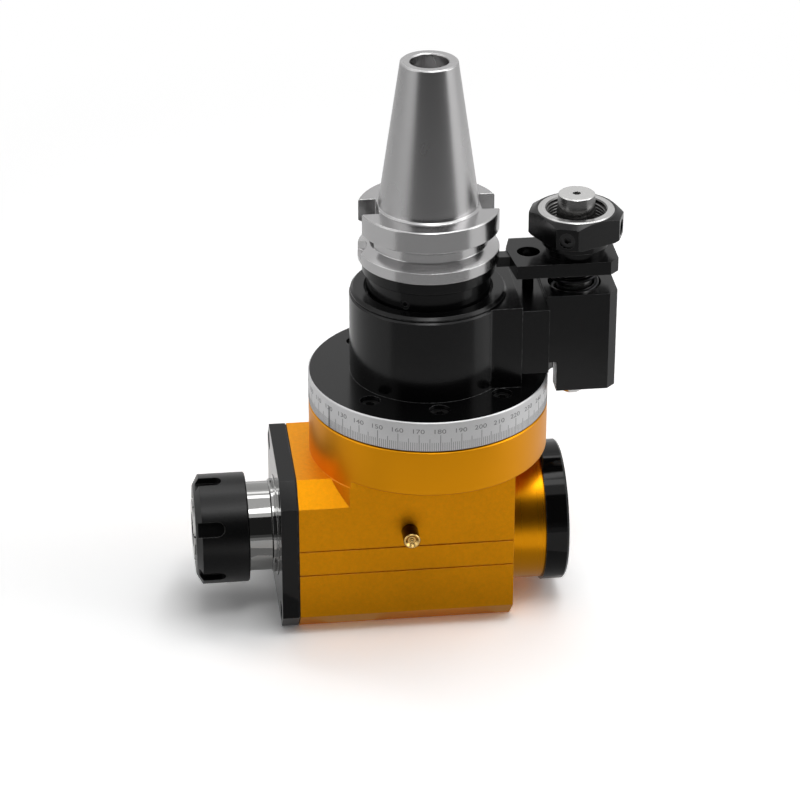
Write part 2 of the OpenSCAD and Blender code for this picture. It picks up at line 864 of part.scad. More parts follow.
// A round nipple with a dished face, a rim and a ball in the middle
module grease_nipple() {
    edge = 0.4;
    rim = 0.8;
    dish = 1.3;
    dish_r = 1.7;
    ball_r = 1.1;
    color("gold") at_nipple() {
        rotate_extrude()
            polygon([[0, run - nipple_in], [nipple_thread_r, run - nipple_in], [nipple_thread_r, 0],
                [nipple_r, 0], [nipple_r, nipple_out - edge], [nipple_r - edge, nipple_out],
                [nipple_r - rim, nipple_out], [dish_r, nipple_out - dish], [0, nipple_out - dish]]);
        translate([0, 0, nipple_out - dish])
            sphere(r = ball_r);
    }
}

module output_spindle() {
    behind = 3;
    cav_x1 = collet_x1 + behind;
    cav_fit_r = collet_r + taper_fit / cos(collet_angle);
    cav_r = cav_fit_r + (collet_taper_x - nose_x) * tan(collet_angle);
    cav_end_r = cav_fit_r + (collet_taper_x - cav_x1) * tan(collet_angle);
    relief_r = collet_bore_r + 1;
    relief_l = 6;
    relief_x = cav_x1 + relief_l;
    color(steel) difference() {
        turned_x([[0, relief_x], [relief_r, relief_x], [relief_r, cav_x1], [cav_end_r, cav_x1],
            [cav_r, nose_x], [nose_r - 1, nose_x], [nose_r, nose_x + 1], [nose_r, nut_x1],
            [neck_r, nut_x1 + gap], [neck_r, neck_x], [brg_in - fit, neck_x],
            [brg_in - fit, front_brg_x1], [gear_seat_r, front_brg_x1], [gear_seat_r, gear_front_x],
            [rear_in - fit, gear_front_x], [rear_in - fit, spindle_x1], [0, spindle_x1]]);
        translate([gear_back_x - driven_hub_l, -key_w / 2, axis_z + gear_seat_r - key_in])
            cube([driven_hub_l, key_w, key_in + eps]);
    }
}

// A tooth gap of the driven gear and its keyway face up, toward the drive gear
module driven_gear() {
    color(dark_steel)
        laid(gear_back_x)
            rotate([0, 0, 180 + 180 / teeth])
                miter_gear(driven_hub_l, -180 / teeth);
}

module driven_gear_key() {
    color(steel)
        translate([gear_back_x - driven_hub_l + fit, -key_w / 2 + fit, axis_z + gear_seat_r - key_in + fit])
            cube([driven_hub_l - 2 * fit, key_w - 2 * fit, key_in + key_out - fit]);
}

module spacer_sleeve() {
    color(steel)
        laid(front_brg_x1 + fit)
            ring(gear_seat_r + fit, shoulder_in_r - 1, spacer_l - 2 * fit);
}

// Slotted round lock nut, lower face at z = 0
module lock_nut(r_in, r_out, h) {
    notch = 4;
    difference() {
        ring(r_in, r_out, h);
        for (i = [0:3])
            rotate([0, 0, i * 90])
                translate([r_out - 1.6, -notch / 2, -eps])
                    cube([3, notch, h + 2 * eps]);
    }
}

module spindle_lock_nuts() {
    color(dark_steel) {
        laid(gear_front_x + fit)
            lock_nut(rear_in, lock_nut_r, lock_nut_l);
        laid(rear_brg_x1 + fit)
            lock_nut(rear_in, rear_nut_r, rear_nut_l);
    }
}

module labyrinth_ring() {
    groove = 0.8;
    edge = 0.5;
    color(steel)
        turned_x([[brg_in, neck_x], [labyrinth_r - edge, neck_x], [labyrinth_r, neck_x + edge],
            [labyrinth_r, cover_x - gap], [neck_cover_r, cover_x - gap], [neck_cover_r, seal_x0 - groove],
            [neck_cover_r - groove, seal_x0 - groove], [neck_cover_r - groove, seal_x0],
            [neck_cover_r, seal_x0], [neck_cover_r, front_brg_x0 - fit], [brg_in, front_brg_x0 - fit]]);
}

module collet() {
    front_r = collet_r - collet_cone_l * tan(collet_cone_angle);
    rim_x = collet_x0 + collet_cone_l;
    groove_x = rim_x + collet_rim_l;
    groove_r = collet_r - collet_groove_depth;
    back_r = collet_r - (collet_x1 - collet_taper_x) * tan(collet_angle);
    slit_end = 8;
    color(steel) difference() {
        turned_x([[collet_bore_r, collet_x0], [front_r, collet_x0], [collet_r, rim_x], [collet_r, groove_x],
            [groove_r, groove_x], [groove_r, collet_taper_x], [collet_r, collet_taper_x], [back_r, collet_x1],
            [collet_bore_r, collet_x1]]);
        for (i = [0:collet_slits - 1]) {
            laid(collet_x0 - eps)
                rotate([0, 0, (i + 0.25) * 360 / collet_slits])
                    translate([0, -slit_w / 2, 0])
                        cube([2 * collet_r, slit_w, collet_l - slit_end + eps]);
            laid(collet_x0 + slit_end)
                rotate([0, 0, (i + 0.75) * 360 / collet_slits])
                    translate([0, -slit_w / 2, 0])
                        cube([2 * collet_r, slit_w, collet_l]);
        }
    }
}

module collet_nut() {
    front_edge_r = 4.6;
    front_edge_l = 2.6;
    back_edge = 0.5;
    rim_x = collet_x0 + collet_cone_l;
    cone_r1 = collet_r + gap / cos(collet_cone_angle);
    mouth_r = cone_r1 - (collet_cone_l - collet_out) * tan(collet_cone_angle);
    lip_r = collet_r + gap + 1;
    lip_x = rim_x + gap;
    color(black) difference() {
        turned_x([[mouth_r, nut_x0], [nut_r - front_edge_r, nut_x0], [nut_r, nut_x0 + front_edge_l],
            [nut_r, nut_x1 - back_edge], [nut_r - back_edge, nut_x1], [nose_r + gap, nut_x1],
            [nose_r + gap, nose_x - gap], [lip_r, nose_x - gap], [lip_r, lip_x], [cone_r1, lip_x],
            [cone_r1, rim_x]]);
        for (i = [0:nut_slots - 1])
            laid(nut_x0)
                rotate([0, 0, slot_turn + i * 360 / nut_slots]) {
                    translate([nut_r - slot_depth, -slot_w / 2, -eps])
                        cube([2 * slot_depth, slot_w, slot_l - slot_w / 2 + eps]);
                    translate([nut_r - slot_depth, 0, slot_l - slot_w / 2])
                        rotate([0, 90, 0])
                            cylinder(h = 2 * slot_depth, r = slot_w / 2);
                }
    }
}

module upper_body() {
    edge = 0.8;
    color(black) difference() {
        union() {
            turned_z([[spigot_in, flange_z0 - spigot_l], [spigot_r, flange_z0 - spigot_l],
                [spigot_r, flange_z0], [dial_in_r - run, flange_z0], [dial_in_r - run, flange_z0 + dial_step_h],
                [dial_lip_r, flange_z0 + dial_step_h], [dial_lip_r, flange_z1], [barrel_r, flange_z1],
                [barrel_r, body_z1 - edge], [barrel_r - edge, body_z1], [brg_r + fit, body_z1],
                [brg_r + fit, in_brg_z0], [spigot_in, in_brg_z0]]);
            difference() {
                translate([0, -boss_hw, flange_z1 - eps])
                    cube([boss_x, 2 * boss_hw, barrel_h + eps]);
                rod_z_axis(flange_z1 - 2 * eps, body_z1 + eps, barrel_r - edge - 1);
            }
            translate([0, 0, flange_z1 - eps])
                linear_extrude(height = barrel_h + eps) {
                    boss_fillet_plan();
                    mirror([0, 1])
                        boss_fillet_plan();
                }
        }
        at_swivel_screws()
            screw_hole(m5 + run, m5_sink_r, swivel_sink, flange_t);
        at_bracket_screws()
            translate([0, 0, -bracket_screw_l])
                cylinder(h = bracket_screw_l, r = m5 + fit);
    }
}

// Fillet between the barrel and one side of the boss
module boss_fillet_plan() {
    far = barrel_r + boss_fillet;
    y = boss_hw + boss_fillet;
    x = sqrt(far * far - y * y);
    touch = barrel_r / far;
    inside = 0.9;
    difference() {
        polygon([[inside * touch * x, inside * touch * y], [touch * x, touch * y], [x, y], [x, boss_hw],
            [x, inside * boss_hw]]);
        translate([x, y])
            circle(r = boss_fillet);
    }
}

module dial_ring() {
    color(steel)
        turned_z([[dial_in_r, dial_z0], [round_r - dial_foot, dial_z0], [round_r, dial_z0 + dial_foot],
            [round_r, flange_z1 - dial_chamfer], [round_r - dial_chamfer, flange_z1],
            [dial_lip_r + run / 2, flange_z1], [dial_lip_r + run / 2, flange_z0 + dial_step_h - run],
            [dial_in_r, flange_z0 + dial_step_h - run]]);
}

module swivel_screws() {
    color(dark_steel)
        at_swivel_screws()
            m5_screw(swivel_screw_l - run);
}

module swivel_t_nuts() {
    color(dark_steel)
        for (a = screw_angles)
            rotate([0, 0, a])
                translate([0, -swivel_pcr, groove_z1 - gap - t_nut_h])
                    ring(m5 + fit, t_nut_r, t_nut_h);
}

module input_bearing_outers() {
    color(steel)
        translate([0, 0, in_brg_z0])
            main_outers();
}

module input_bearing_inners() {
    color(steel)
        translate([0, 0, in_brg_z0])
            main_inners();
}

module input_bearing_balls() {
    color("lightgray")
        translate([0, 0, in_brg_z0])
            main_balls();
}

module bearing_retainer() {
    lip_z = in_brg_z1 + retainer_lip;
    color(black)
        turned_z([[shoulder_out_r, in_brg_z1 + fit], [brg_r, in_brg_z1 + fit], [brg_r, retainer_rim_z0],
            [retainer_rim_r, retainer_rim_z0], [retainer_rim_r, retainer_rim_z1 - retainer_rim_edge],
            [retainer_rim_r - retainer_rim_edge, retainer_rim_z1], [retainer_top_in, retainer_rim_z1],
            [retainer_top_in, retainer_step_z], [retainer_in, retainer_step_z], [retainer_in, lip_z],
            [shoulder_out_r, lip_z]]);
}

module input_seal() {
    color([0.08, 0.08, 0.08])
        translate([0, 0, retainer_step_z - seal_h])
            ring(shank_collar_r + run, retainer_in - fit, seal_h);
}

module stop_bracket() {
    c = pin_block_chamfer;
    color(black) difference() {
        union() {
            translate([bracket_x0, -boss_hw, pin_block_z0])
                cube([bracket_t, 2 * boss_hw, bracket_z1 - pin_block_z0]);
            translate([0, 0, pin_block_z0])
                linear_extrude(height = pin_block_h)
                    pin_block_plan(bracket_x0 + 1, c);
            translate([0, 0, drop_z0])
                linear_extrude(height = pin_block_drop + eps)
                    pin_block_plan(drop_x, c);
        }
        translate([stop_s, 0, 0]) {
            rod_z_axis(drop_z0 - eps, pin_block_z1 + eps, guide_r + fit);
            rod_z_axis(pocket_z, pin_block_z1 + eps, pocket_spring_r);
        }
        translate([rod_x, 0, 0])
            rod_z_axis(bracket_z1 - rod_in, pin_block_z1 + eps, rod_r + fit);
        translate([bracket_x0 - eps, -pin_block_hw - eps, bracket_z1])
            cube([bracket_t + eps, 2 * pin_block_hw + 2 * eps, pin_block_h]);
        at_bracket_screws()
            screw_hole(m5 + run, m5_sink_r, m5_sink, bracket_t);
    }
}

// Plan of the pin block from an inner face at x0, its outer upright edges chamfered
module pin_block_plan(x0, c) {
    polygon([[x0, -pin_block_hw], [pin_block_x1 - c, -pin_block_hw], [pin_block_x1, c - pin_block_hw],
        [pin_block_x1, pin_block_hw - c], [pin_block_x1 - c, pin_block_hw], [x0, pin_block_hw]]);
}

module stop_bracket_screws() {
    color(dark_steel)
        at_bracket_screws()
            m5_screw(bracket_screw_l - run);
}

module guide_rod() {
    color(black)
        translate([rod_x, 0, 0])
            rod_z_axis(bracket_z1 - rod_in + run, bracket_z1 + rod_up, rod_r);
}

module pin_guide_bush() {
    color("darkgoldenrod")
        translate([stop_s, 0, guide_z0])
            ring(pin_r + run, guide_r, guide_h - fit);
}

module pin_spring() {
    last = spring_n * spring_sides;
    points = [for (i = [0:spring_n]) for (k = [0:spring_sides - 1]) coil_point(i, k)];
    sides = [for (i = [0:spring_n - 1]) for (k = [0:spring_sides - 1])
        let (a = i * spring_sides + k, b = i * spring_sides + (k + 1) % spring_sides)
        [a, b, b + spring_sides, a + spring_sides]];
    start_cap = [[for (k = [spring_sides - 1:-1:0]) k]];
    end_cap = [[for (k = [0:spring_sides - 1]) last + k]];
    color(dark_steel)
        translate([stop_s, 0, 0])
            polyhedron(points, concat(sides, start_cap, end_cap), convexity = 10);
}

module stop_pin() {
    tip_z = collar_z1 + tip_up;
    hole_r = 1.8;
    hole_d = 8;
    edge = 0.4;
    color(steel)
        translate([stop_s, 0, 0])
            turned_z([[0, drop_z0 - pin_tail_out], [pin_tail_r - edge, drop_z0 - pin_tail_out],
                [pin_tail_r, drop_z0 - pin_tail_out + edge], [pin_tail_r, guide_z0], [pin_r, guide_z0],
                [pin_r, collar_z0], [tip_r, collar_z0], [tip_r, collar_z0 + collar_floor],
                [tip_top_r, tip_z - edge], [tip_top_r - edge, tip_z], [hole_r, tip_z], [hole_r, tip_z - hole_d],
                [0, tip_z - hole_d]]);
}

module pin_retaining_nut() {
    color(dark_steel)
        translate([stop_s, 0, guide_z0 - gap - keeper_h])
            ring(pin_tail_r + fit, keeper_r, keeper_h);
}

module collar() {
    a = collar_af / 2;
    k = collar_corner * sqrt(2) - a;
    reach = norm([a, k]) + 1;
    rim_r = bush_r + collar_rim;
    foot_r = collar_corner - collar_foot;
    slope = tan(collar_chamfer_angle);
    color(black)
        translate([stop_s, 0, 0])
            difference() {
                union() {
                    intersection() {
                        rotate([0, 0, collar_turn])
                            translate([0, 0, collar_z0])
                                linear_extrude(height = collar_h)
                                    polygon([[a, k], [k, a], [-k, a], [-a, k], [-a, -k], [-k, -a], [k, -a],
                                        [a, -k]]);
                        turned_z([[0, collar_z0], [foot_r, collar_z0],
                            [reach, collar_z0 + (reach - foot_r) * slope],
                            [reach, collar_z1 - (reach - rim_r) * slope], [rim_r, collar_z1], [0, collar_z1]]);
                    }
                    turned_z([[0, lever_z1], [neck_low_r, lever_z1], [neck_low_r, lever_z1 + neck_h / 2],
                        [neck_high_r, lever_z1 + neck_h / 2], [neck_high_r, collar_z0 + eps],
                        [0, collar_z0 + eps]]);
                }
                rod_z_axis(lever_z1 - eps, collar_z0, pin_r + fit);
                rod_z_axis(collar_z0 - fit, collar_z1 + eps, tip_r + fit);
                rod_z_axis(collar_z0 + collar_floor, collar_z1 + eps, bush_r + fit);
                at_collar_flats()
                    cylinder(h = 2 * set_screw_l, r = set_screw_r + fit, center = true);
            }
}

// Corner flats of the collar that carry its set screws, z pointing out
module at_collar_flats() {
    for (i = [0:3])
        rotate([0, 0, collar_turn + 45 + 90 * i])
            translate([collar_corner, 0, collar_z0 + collar_h / 2 - 1])
                rotate([0, 90, 0])
                    children();
}

module collar_bush() {
    edge = 0.5;
    z0 = collar_z0 + collar_floor + fit;
    z1 = collar_z1 + 0.4;
    color(steel)
        translate([stop_s, 0, 0])
            turned_z([[bush_in_r, z0], [bush_r, z0], [bush_r, z1 - edge], [bush_r - edge, z1],
                [bush_in_r + edge, z1], [bush_in_r, z1 - edge]]);
}

module collar_set_screws() {
    sunk = 0.9;
    hex_share = 0.48;
    hex_r = hex_share * set_screw_r;
    hex_d = 1.5;
    color(dark_steel)
        translate([stop_s, 0, 0])
            at_collar_flats()
                translate([0, 0, -set_screw_l + fit])
                    difference() {
                        cylinder(h = set_screw_l - sunk, r = set_screw_r);
                        translate([0, 0, set_screw_l - sunk - hex_d])
                            cylinder(h = hex_d + eps, r = hex_r, $fn = 6);
                    }
}

module lever_plate() {
    x1 = pin_block_x1;
    w = pin_block_hw;
    c = pin_block_chamfer;
    color(black) difference() {
        translate([0, 0, lever_z0])
            linear_extrude(height = lever_t)
                polygon([[lever_x0 + lever_nose, -w], [x1 - c, -w], [x1, c - w], [x1, w - c], [x1 - c, w],
                    [lever_x0 + lever_tail, w], [lever_x0, lever_nose_y]]);
        translate([stop_s, 0, 0])
            rod_z_axis(lever_z0 - eps, lever_z1 + eps, pin_r + fit);
        translate([rod_x, 0, 0])
            rod_z_axis(lever_z0 - eps, lever_z1 + eps, lever_hole_r);
        translate([0, -tongue_hw - fit, lever_z0 + tongue_up - fit])
            cube([lever_x0 + lever_nose + 1, 2 * (tongue_hw + fit), tongue_h + 2 * fit]);
    }
}

module lock_tongue() {
    color(dark_steel)
        translate([tongue_x0, -tongue_hw, lever_z0 + tongue_up])
            cube([lever_x0 + lever_nose + 1 - fit - tongue_x0, 2 * tongue_hw, tongue_h]);
}

module taper_shank() {
    edge = 0.5;
    taper_foot = 0.8;
    color(steel) difference() {
        turned_z([[0, drive_front_z + fit], [end_thread_r, drive_front_z + fit], [end_thread_r, shank_z0],
            [gear_seat_r, shank_z0], [gear_seat_r, drive_hub_z], [shank_mid_r, drive_hub_z],
            [shank_mid_r, in_brg_z0 - input_nut_h], [brg_in - fit, in_brg_z0 - input_nut_h],
            [brg_in - fit, in_brg_z1], [shank_collar_r, in_brg_z1], [shank_collar_r, grip_z0],
            [grip_r - edge, grip_z0], [grip_r, grip_z0 + edge],
            [grip_r, groove_z - groove_w / 2 - groove_flare], [groove_d / 2, groove_z - groove_w / 2],
            [groove_d / 2, groove_z + groove_w / 2], [grip_r, groove_z + groove_w / 2 + groove_flare],
            [grip_r, grip_z1 - edge], [grip_r - edge, grip_z1],
            [gauge_r + taper_foot, grip_z1], [gauge_r, grip_z1 + taper_foot], [gauge_r, gauge_z],
            [taper_top_r + edge * taper_ratio / 2, taper_z1 - edge], [taper_top_r - edge, taper_z1],
            [pilot_r + edge, taper_z1], [pilot_r, taper_z1 - edge], [pilot_r, taper_z1 - pilot_l],
            [retention_r, taper_z1 - pilot_l - edge], [retention_r, taper_z1 - pilot_l - edge - retention_l],
            [0, taper_z1 - pilot_l - edge - retention_l]]);
        for (a = [0, 180])
            rotate([0, 0, a])
                translate([key_slot_x, -key_slot_w / 2, groove_z - groove_w / 2])
                    cube([grip_r, key_slot_w, grip_z1 - groove_z + groove_w / 2 + eps]);
        translate([-grip_r - pocket_r + pocket_depth, 0, grip_z0 + pocket_floor])
            cylinder(h = groove_z - grip_z0, r = pocket_r);
        translate([0, 0, drive_back_z])
            translate([-gear_seat_r - eps, -key_w / 2, 0])
                cube([key_in + eps, key_w, drive_hub_l]);
    }
}

// A tooth of the drive gear faces the collet end
module drive_gear() {
    color(dark_steel)
        translate([0, 0, drive_back_z])
            rotate([180, 0, 180])
                miter_gear(drive_hub_l, 0, end_nut_r + gap, end_nut_h);
}

module drive_gear_key() {
    color(steel)
        translate([-gear_seat_r - key_out + fit, -key_w / 2 + fit, drive_back_z + fit])
            cube([key_in + key_out - 2 * fit, key_w - 2 * fit, drive_hub_l - 2 * fit]);
}

module shaft_lock_nuts() {
    color(dark_steel) {
        translate([0, 0, in_brg_z0 - input_nut_h])
            lock_nut(brg_in, input_nut_r, input_nut_h - fit);
        translate([0, 0, shank_z0 - end_nut_h + 2 * fit])
            lock_nut(end_thread_r + fit, end_nut_r, end_nut_h - 3 * fit);
    }
}

module lock_ring() {
    edge = 0.5;
    top = grip_z0 - fit;
    color(black) difference() {
        turned_z([[shank_collar_r + fit, lock_sleeve_z0], [lock_sleeve_r - edge, lock_sleeve_z0],
            [lock_sleeve_r, lock_sleeve_z0 + edge], [lock_sleeve_r, lock_z0], [lock_ring_r - edge, lock_z0],
            [lock_ring_r, lock_z0 + edge], [lock_ring_r, top], [shank_collar_r + fit, top]]);
        translate([lock_ring_r - notch_depth, -notch_w / 2, lock_z0])
            cube([2 * notch_depth, notch_w, lock_ring_h + eps]);
        at_lock_grubs()
            cylinder(h = 2 * grub_l, r = grub_r + fit, center = true);
    }
}

// Radial set screws of the lock ring, z pointing out
module at_lock_grubs() {
    for (a = [-119, 61])
        rotate([0, 0, a])
            translate([lock_sleeve_r, 0, lock_sleeve_z0 + grub_up])
                rotate([0, 90, 0])
                    children();
}

module lock_ring_set_screws() {
    sunk = 0.4;
    hex_r = 1.15;
    hex_d = 1.5;
    color(dark_steel)
        at_lock_grubs()
            translate([0, 0, -grub_l])
                difference() {
                    cylinder(h = grub_l - sunk, r = grub_r);
                    translate([0, 0, grub_l - sunk - hex_d])
                        cylinder(h = hex_d + eps, r = hex_r, $fn = 6);
                }
}

housing();
front_cover();
front_cover_screws();
rear_bearing_sleeve();
rear_cap();
rear_cap_screws();
grease_nipple();
front_bearing_outers();
rear_bearing_outer();
front_seal();
output_spindle();
driven_gear();
driven_gear_key();
front_bearing_inners();
front_bearing_balls();
rear_bearing_inner();
rear_bearing_balls();
spacer_sleeve();
spindle_lock_nuts();
labyrinth_ring();
collet();
collet_nut();
upper_body();
dial_ring();
swivel_screws();
swivel_t_nuts();
input_bearing_outers();
bearing_retainer();
input_seal();
stop_bracket();
stop_bracket_screws();
guide_rod();
pin_guide_bush();
pin_spring();
stop_pin();
collar();
collar_bush();
collar_set_screws();
lever_plate();
lock_tongue();
pin_retaining_nut();
taper_shank();
drive_gear();
drive_gear_key();
input_bearing_inners();
input_bearing_balls();
shaft_lock_nuts();
lock_ring();
lock_ring_set_screws();
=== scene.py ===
"""Looks of the angle head: finishes, engraved dial, spring, threads, studio and camera."""

import math

import bmesh
import bpy
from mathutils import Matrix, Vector


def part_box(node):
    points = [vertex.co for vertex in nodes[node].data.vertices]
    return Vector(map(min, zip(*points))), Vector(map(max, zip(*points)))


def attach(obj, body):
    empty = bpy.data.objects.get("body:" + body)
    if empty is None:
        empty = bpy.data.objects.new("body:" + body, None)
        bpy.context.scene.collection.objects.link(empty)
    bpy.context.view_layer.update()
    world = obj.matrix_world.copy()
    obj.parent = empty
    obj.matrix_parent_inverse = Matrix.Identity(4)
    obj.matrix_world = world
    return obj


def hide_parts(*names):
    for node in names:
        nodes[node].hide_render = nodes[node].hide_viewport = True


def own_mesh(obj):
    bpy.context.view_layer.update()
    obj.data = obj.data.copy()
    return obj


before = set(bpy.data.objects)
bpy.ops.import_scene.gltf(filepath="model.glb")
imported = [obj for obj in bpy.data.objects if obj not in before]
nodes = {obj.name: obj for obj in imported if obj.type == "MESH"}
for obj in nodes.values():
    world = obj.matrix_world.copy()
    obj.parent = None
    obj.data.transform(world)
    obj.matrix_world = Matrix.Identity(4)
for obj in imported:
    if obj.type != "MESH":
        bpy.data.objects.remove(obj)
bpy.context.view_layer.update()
MM = 0.001
AXES = {"x": (1, 0, 0), "y": (0, 1, 0), "z": (0, 0, 1)}


def middle(node):
    lo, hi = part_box(node)
    return (lo + hi) / 2


# Axes of the turned pieces
SHANK = Vector((0, 0, 0))
OUTPUT = Vector((0, 0, middle("collet_nut").z))
PIN = Vector((middle("stop_pin").x, 0, 0))
NIPPLE = Vector((middle("grease_nipple").x, 0, middle("grease_nipple").z))

# Borders between two finishes on one piece, or where painted shade or a darker colour starts, in
# millimetres: radii about its axis, and one height
SEAT_INSET = 1.5
SEAT_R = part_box("dial_ring")[1].x / MM - SEAT_INSET
SEAT_Z = 76.1
TAPER_R = 22.4
TIP_R = 8.15
BUSH_R = 13.9
NIPPLE_R = 3.7

# Roughness beyond the borders of the seat and the taper
SEAT_GLOSS = 0.38
FLANGE_GLOSS = 0.2

# Sockets of the Mix node for colours, and how the Bevel node's normal shows an edge
COLOUR_A = 6
COLOUR_B = 7
COLOUR_OUT = 2
BEVEL_SAMPLES = 6
FLAT = 0.995
SHARP = 0.8

# Stretches of the noise that give colour, worn edges with painted edge highlights, and gloss, with its
# middle and its finer detail
SHADE_STRETCH = (0.25, 0.75)
WEAR_AND_HIGHLIGHT_STRETCH = (0.35, 0.65)
GLOSS_STRETCH = (0.3, 0.7)
NOISE_MIDDLE = 0.5
FINE_DETAIL = 3
WEAR_AND_HIGHLIGHT_SIZE = 2.5


class Nodes:
    """A node tree with short ways to add and join nodes."""

    def __init__(self, owner):
        owner.use_nodes = True
        self.tree = owner.node_tree
        self.tree.nodes.clear()

    def add(self, kind, **settings):
        node = self.tree.nodes.new(kind)
        for key, value in settings.items():
            setattr(node, key, value)
        return node

    def link(self, source, target):
        self.tree.links.new(source, target)

    def put(self, value, socket):
        """Joins a socket to a node's output, or sets it to a plain value."""
        if isinstance(value, bpy.types.NodeSocket):
            self.link(value, socket)
        else:
            socket.default_value = value

    def math(self, operation, first, second):
        node = self.add("ShaderNodeMath", operation=operation)
        self.put(first, node.inputs[0])
        self.put(second, node.inputs[1])
        return node.outputs[0]

    def vector_math(self, operation, *values):
        node = self.add("ShaderNodeVectorMath", operation=operation)
        for value, socket in zip(values, node.inputs):
            self.put(value, socket)
        return node.outputs["Value" if operation in ("DOT_PRODUCT", "LENGTH") else "Vector"]

    def ranged(self, value, start, end, low=0.0, high=1.0, interpolation="LINEAR"):
        """The stretch of a value from start to end, moved to low to high."""
        node = self.add("ShaderNodeMapRange", interpolation_type=interpolation)
        limits = {"From Min": start, "From Max": end, "To Min": low, "To Max": high}
        for name, limit in limits.items():
            node.inputs[name].default_value = limit
        self.link(value, node.inputs["Value"])
        return node.outputs["Result"]


class Finish(Nodes):
    """One procedural surface. Lengths are in millimetres."""

    def __init__(self, name, colour, metallic, specular=0.5):
        self.material = bpy.data.materials.new(name)
        super().__init__(self.material)
        output = self.add("ShaderNodeOutputMaterial")
        self.shader = self.add("ShaderNodeBsdfPrincipled")
        self.link(self.shader.outputs["BSDF"], output.inputs["Surface"])
        self.shader.inputs["Metallic"].default_value = metallic
        self.shader.inputs["Specular IOR Level"].default_value = specular
        self.coords = self.add("ShaderNodeTexCoord").outputs["Object"]
        self.colour = colour
        self.base = None
        self.normal = None
        self.edge = None
        self.smooth = None

    def noise(self, size, detail=2.0, vector=None):
        node = self.add("ShaderNodeTexNoise")
        node.inputs["Scale"].default_value = 1 / (size * MM)
        node.inputs["Detail"].default_value = detail
        self.link(vector or self.coords, node.inputs["Vector"])
        return node.outputs["Fac"]

    def mixed(self, factor, first, second):
        node = self.add("ShaderNodeMix", data_type="RGBA")
        self.link(factor, node.inputs["Factor"])
        self.put(first, node.inputs[COLOUR_A])
        self.put(second, node.inputs[COLOUR_B])
        return node.outputs[COLOUR_OUT]

    def turned(self, axis, centre):
        """Coordinates (radius, height) about an axis, so that noise becomes rings."""
        offset = self.vector_math("SUBTRACT", self.coords, centre)
        across = self.vector_math("MULTIPLY", offset, [1 - c for c in AXES[axis]])
        joined = self.add("ShaderNodeCombineXYZ")
        self.link(self.vector_math("LENGTH", across), joined.inputs["X"])
        self.link(self.vector_math("DOT_PRODUCT", offset, AXES[axis]), joined.inputs["Y"])
        return joined.outputs["Vector"]

    def split(self, turned):
        node = self.add("ShaderNodeSeparateXYZ")
        self.link(turned, node.inputs["Vector"])
        return node.outputs["X"], node.outputs["Y"]

    def rounded(self, radius):
        """Soft edges: the normal turns over this radius, and edge is 1 at sharp edges."""
        bevel = self.add("ShaderNodeBevel", samples=BEVEL_SAMPLES)
        bevel.inputs["Radius"].default_value = radius * MM
        self.normal = bevel.outputs["Normal"]
        face = self.add("ShaderNodeNewGeometry").outputs["Normal"]
        self.edge = self.ranged(self.vector_math("DOT_PRODUCT", self.normal, face), FLAT, SHARP)

    def machined(self, turned, radius, height):
        """Calms the texture beyond a radius and above a height about the turned axis."""
        across, along = self.split(turned)
        out = self.math("GREATER_THAN", across, radius * MM)
        up = self.math("GREATER_THAN", along, height * MM)
        self.smooth = self.math("MULTIPLY", out, up)

    def calmed(self, value, rest):
        """A texture value that returns to rest where the surface is machined smooth."""
        if self.smooth is None:
            return value
        node = self.add("ShaderNodeMix")
        self.link(self.smooth, node.inputs["Factor"])
        self.link(value, node.inputs["A"])
        node.inputs["B"].default_value = rest
        return node.outputs["Result"]

    def shade(self, spread, sizes):
        """Colour varies by this share, from noise of several sizes."""
        total = self.noise(sizes[0])
        for size in sizes[1:]:
            total = self.math("ADD", total, self.noise(size))
        level = self.ranged(total, *(end * len(sizes) for end in SHADE_STRETCH))
        dark = [c * (1 - spread) for c in self.colour]
        light = [min(1, c * (1 + spread)) for c in self.colour]
        self.base = self.mixed(self.calmed(level, NOISE_MIDDLE), (*dark, 1), (*light, 1))

    def worn(self, colour, amount):
        """Edges rub through to another colour, in patches: edge wear, and also a painted highlight along
        sharp edges, concave ones too.
        """
        patches = self.ranged(self.noise(WEAR_AND_HIGHLIGHT_SIZE, FINE_DETAIL), *WEAR_AND_HIGHLIGHT_STRETCH, high=amount)
        self.base = self.mixed(self.math("MULTIPLY", self.edge, patches), self.base, (*colour, 1))

    def beyond(self, turned, radius, colour, side="GREATER_THAN"):
        """Another colour on one side of a radius about the turned axis."""
        across, _ = self.split(turned)
        self.base = self.mixed(self.math(side, across, radius * MM), self.base, (*colour, 1))

    def gloss(self, low, high, size, vector=None, calm=0.0):
        """Roughness from noise, and its value where the surface is machined smooth."""
        level = self.ranged(self.noise(size, FINE_DETAIL, vector), *GLOSS_STRETCH, low, high)
        self.link(self.calmed(level, calm), self.shader.inputs["Roughness"])

    def bump(self, size, depth, strength, vector=None):
        node = self.add("ShaderNodeBump")
        node.inputs["Strength"].default_value = strength
        node.inputs["Distance"].default_value = depth * MM
        height = self.calmed(self.noise(size, vector=vector), NOISE_MIDDLE)
        self.link(height, node.inputs["Height"])
        if self.normal:
            self.link(self.normal, node.inputs["Normal"])
        self.normal = node.outputs["Normal"]

    def done(self):
        self.link(self.base, self.shader.inputs["Base Color"])
        if self.normal:
            self.link(self.normal, self.shader.inputs["Normal"])
        return self.material
